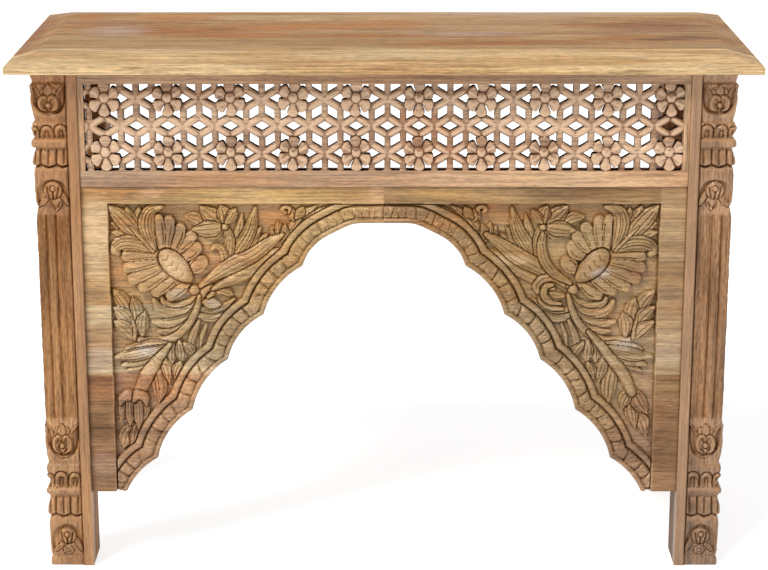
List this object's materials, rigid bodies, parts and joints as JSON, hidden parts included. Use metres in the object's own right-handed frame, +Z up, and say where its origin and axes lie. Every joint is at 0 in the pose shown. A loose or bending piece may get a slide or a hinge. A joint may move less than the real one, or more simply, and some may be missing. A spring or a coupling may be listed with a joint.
{
  "type": "carved console table",
  "caption": "Narrow free-standing console table with a plank top, a pierced lattice frieze, a scalloped carved arch and carved square legs.",
  "frame": {"origin": "on the floor, under the middle of the table", "axes": "+X along the length to the right seen from the front, +Y from the carved front to the back, +Z up"},
  "size_m": [1.1, 0.44, 0.806],
  "materials": {
    "top_wood": "waxed, honey tan with darker streaks",
    "leg_wood": "waxed, carved, warm brown",
    "frieze_wood": "waxed, pierced and carved, tan",
    "panel_wood": "waxed, carved, golden brown with dark grooves",
    "apron_wood": "waxed, plain",
    "inner_wood": "sawn, unfinished",
    "dowel_wood": "turned, unfinished",
    "steel": "zinc plated"
  },
  "bodies": {
    "root": {"back_apron": "apron_wood", "back_leg_left": "leg_wood", "back_leg_right": "leg_wood", "batten_screws": "steel", "block_screws": "steel", "centre_cleat": "inner_wood", "cleat_screws": "steel", "corner_block_back_left": "inner_wood", "corner_block_back_right": "inner_wood", "corner_block_front_left": "inner_wood", "corner_block_front_right": "inner_wood", "corner_cleat_left": "inner_wood", "corner_cleat_right": "inner_wood", "frieze_bottom_rail": "frieze_wood", "frieze_stile_left": "frieze_wood", "frieze_stile_right": "frieze_wood", "frieze_top_rail": "frieze_wood", "front_leg_left": "leg_wood", "front_leg_right": "leg_wood", "jali_panel": "frieze_wood", "side_apron_left": "apron_wood", "side_apron_right": "apron_wood", "spandrel_dowels": "dowel_wood", "spandrel_left_board_1": "panel_wood", "spandrel_left_board_2": "panel_wood", "spandrel_left_board_3": "panel_wood", "spandrel_left_board_4": "panel_wood", "spandrel_right_board_1": "panel_wood", "spandrel_right_board_2": "panel_wood", "spandrel_right_board_3": "panel_wood", "spandrel_right_board_4": "panel_wood", "top_batten_left": "inner_wood", "top_batten_right": "inner_wood", "top_board_front": "top_wood", "top_board_mid_front": "top_wood", "top_board_mid_rear": "top_wood", "top_board_rear": "top_wood", "top_dowels": "dowel_wood"}
  },
  "joints": []
}
